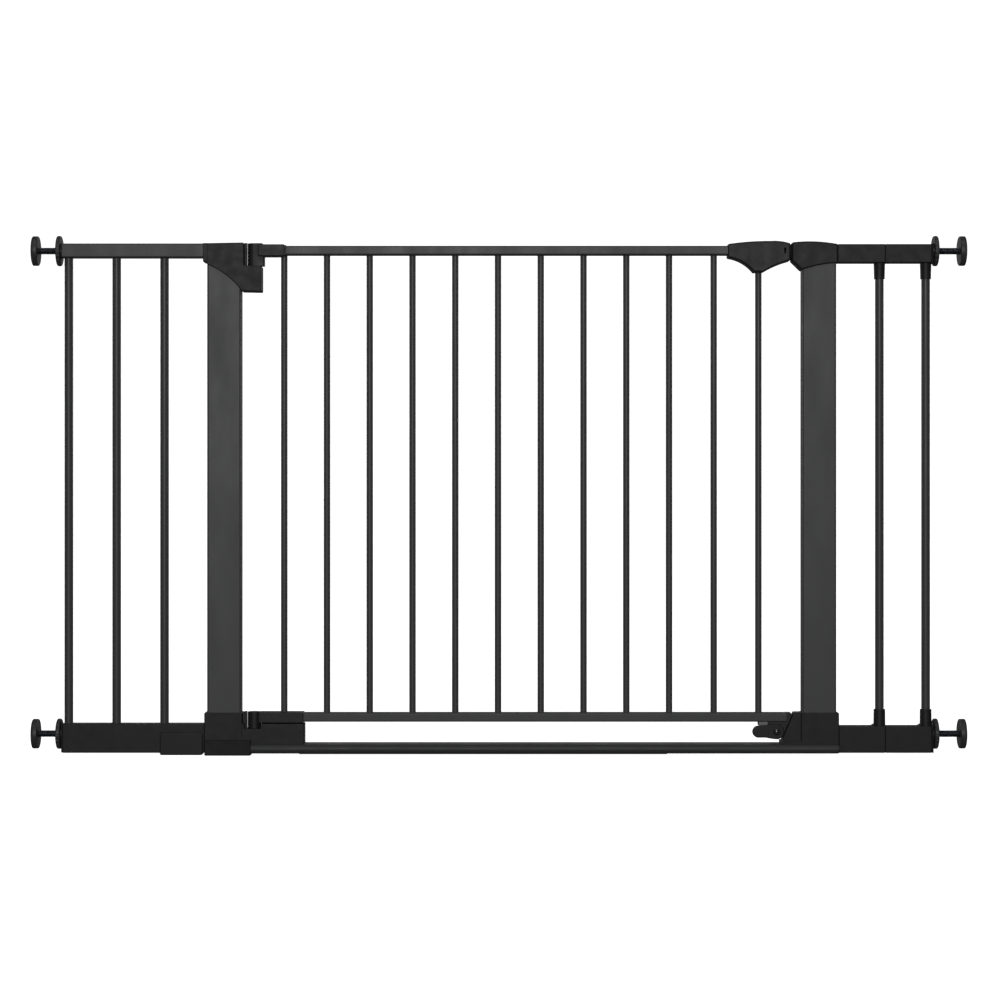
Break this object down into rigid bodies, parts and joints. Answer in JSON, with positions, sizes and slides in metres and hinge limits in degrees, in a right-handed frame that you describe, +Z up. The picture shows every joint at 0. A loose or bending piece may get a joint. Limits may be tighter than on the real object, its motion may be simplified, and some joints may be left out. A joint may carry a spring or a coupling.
{
  "type": "baby safety gate",
  "caption": "Pressure-fit safety gate: barred door hinged in a floor-bar frame, latch handle, stop lever, side extensions and screw-out wall pads.",
  "frame": {"origin": "on the floor, midway between the wall pads and midway through the depth", "axes": "+X along the gate from the hinge side to the latch side, +Z up, -Y the front with the stop lever"},
  "size_m": [1.3274, 0.047, 0.7382],
  "materials": {
    "painted_steel_frame": "dark grey powder coat, satin",
    "painted_steel_door": "dark grey powder coat, satin",
    "painted_steel_bars": "dark grey powder coat, satin",
    "black_plastic": "fine-grained moulding",
    "grey_plastic": "smooth moulding",
    "soft_shoe": "soft matt elastomer",
    "pin_steel": "drawn",
    "threaded_steel": "black zinc, slightly blue",
    "pad_rubber": "soft matt",
    "dark_fixings": "black zinc",
    "glossy_rivet": "polished dome"
  },
  "bodies": {
    "frame": {"base_bar": "painted_steel_frame", "base_bar_end_plug": "black_plastic", "base_grip_strip": "soft_shoe", "hinge_post": "painted_steel_frame", "latch_post": "painted_steel_frame", "hinge_post_top_bracket": "black_plastic", "hinge_post_foot_bracket": "black_plastic", "hinge_post_shoe": "soft_shoe", "latch_post_foot_bracket": "black_plastic", "strike_cap": "black_plastic", "bracket_screws": "dark_fixings", "upper_hinge_pin": "pin_steel", "lower_hinge_pin": "pin_steel", "left_extension_bars": "painted_steel_bars", "left_extension_top_rail": "painted_steel_frame", "left_extension_bottom_rail": "black_plastic", "left_extension_clip": "black_plastic", "left_extension_dowel_plug": "black_plastic", "right_extension_bars": "painted_steel_bars", "extension_dowels": "pin_steel", "spindle_end_plugs": "black_plastic", "right_extension_top_1": "black_plastic", "right_extension_top_2": "black_plastic", "right_extension_bottom_1": "black_plastic", "right_extension_bottom_2": "black_plastic"},
    "hinge_bushes": {"upper_hinge_bush": "grey_plastic", "lower_hinge_bush": "grey_plastic"},
    "door": {"door_bars": "painted_steel_bars", "door_top_rail": "painted_steel_door", "door_bottom_rail": "painted_steel_door", "door_upper_hinge_arm": "black_plastic", "door_lower_hinge_arm": "black_plastic", "door_bottom_catch": "black_plastic", "handle_front_shell": "black_plastic", "handle_rear_shell": "black_plastic", "handle_screws": "dark_fixings", "latch_spring": "pin_steel", "stop_lever_rivet": "glossy_rivet", "lever_rest_pad": "grey_plastic"},
    "latch": {"latch_bolt": "grey_plastic", "thumb_slide": "grey_plastic"},
    "stop_lever": {"stop_lever": "grey_plastic"},
    "lower_left_spindle": {"spindle_rod_lower_left": "threaded_steel", "pad_holder_lower_left": "black_plastic", "rubber_pad_lower_left": "pad_rubber"},
    "lower_left_nut": {"hand_nut_lower_left": "black_plastic"},
    "lower_right_spindle": {"spindle_rod_lower_right": "threaded_steel", "pad_holder_lower_right": "black_plastic", "rubber_pad_lower_right": "pad_rubber"},
    "lower_right_nut": {"hand_nut_lower_right": "black_plastic"},
    "upper_left_spindle": {"spindle_rod_upper_left": "threaded_steel", "pad_holder_upper_left": "black_plastic", "rubber_pad_upper_left": "pad_rubber"},
    "upper_left_nut": {"hand_nut_upper_left": "black_plastic"},
    "upper_right_spindle": {"spindle_rod_upper_right": "threaded_steel", "pad_holder_upper_right": "black_plastic", "rubber_pad_upper_right": "pad_rubber"},
    "upper_right_nut": {"hand_nut_upper_right": "black_plastic"}
  },
  "joints": [
    {"name": "door_swing", "type": "hinge", "parent": "frame", "child": "hinge_bushes", "pos_m": [-0.34815, 0, 0.7], "axis": [0, 0, 1], "range_deg": [-90, 90]},
    {"name": "door_lift", "type": "slide", "parent": "hinge_bushes", "child": "door", "axis": [0, 0, 1], "range_m": [0, 0.01]},
    {"name": "latch_slide", "type": "slide", "parent": "door", "child": "latch", "axis": [-1, 0, 0], "range_m": [0, 0.012], "stiffness_N_per_m": 200, "springref_m": -0.01, "deforming": ["latch_spring"]},
    {"name": "stop_turn", "type": "hinge", "parent": "door", "child": "stop_lever", "pos_m": [0.39395, -0.0137, 0.0334], "axis": [0, 1, 0], "range_deg": [0, 180]},
    {"name": "lower_left_nut_turn", "type": "hinge", "parent": "frame", "child": "lower_left_nut", "pos_m": [-0.625, 0, 0.0293], "axis": [1, 0, 0], "range_deg": [-3600, 3600]},
    {"name": "lower_left_rod_slide", "type": "slide", "parent": "frame", "child": "lower_left_spindle", "axis": [-1, 0, 0], "range_m": [-0.015, 0.015]},
    {"name": "lower_right_nut_turn", "type": "hinge", "parent": "frame", "child": "lower_right_nut", "pos_m": [0.625, 0, 0.0293], "axis": [1, 0, 0], "range_deg": [-3600, 3600]},
    {"name": "lower_right_rod_slide", "type": "slide", "parent": "frame", "child": "lower_right_spindle", "axis": [1, 0, 0], "range_m": [-0.015, 0.015]},
    {"name": "upper_left_nut_turn", "type": "hinge", "parent": "frame", "child": "upper_left_nut", "pos_m": [-0.625, 0, 0.7166], "axis": [1, 0, 0], "range_deg": [-3600, 3600]},
    {"name": "upper_left_rod_slide", "type": "slide", "parent": "frame", "child": "upper_left_spindle", "axis": [-1, 0, 0], "range_m": [-0.015, 0.015]},
    {"name": "upper_right_nut_turn", "type": "hinge", "parent": "frame", "child": "upper_right_nut", "pos_m": [0.625, 0, 0.7166], "axis": [1, 0, 0], "range_deg": [-3600, 3600]},
    {"name": "upper_right_rod_slide", "type": "slide", "parent": "frame", "child": "upper_right_spindle", "axis": [1, 0, 0], "range_m": [-0.015, 0.015]}
  ],
  "couplings": [
    {"joint": "lower_left_nut_turn", "follows": "lower_left_rod_slide", "rad_per_m": 4188.8},
    {"joint": "lower_right_nut_turn", "follows": "lower_right_rod_slide", "rad_per_m": -4188.8},
    {"joint": "upper_left_nut_turn", "follows": "upper_left_rod_slide", "rad_per_m": 4188.8},
    {"joint": "upper_right_nut_turn", "follows": "upper_right_rod_slide", "rad_per_m": -4188.8}
  ]
}
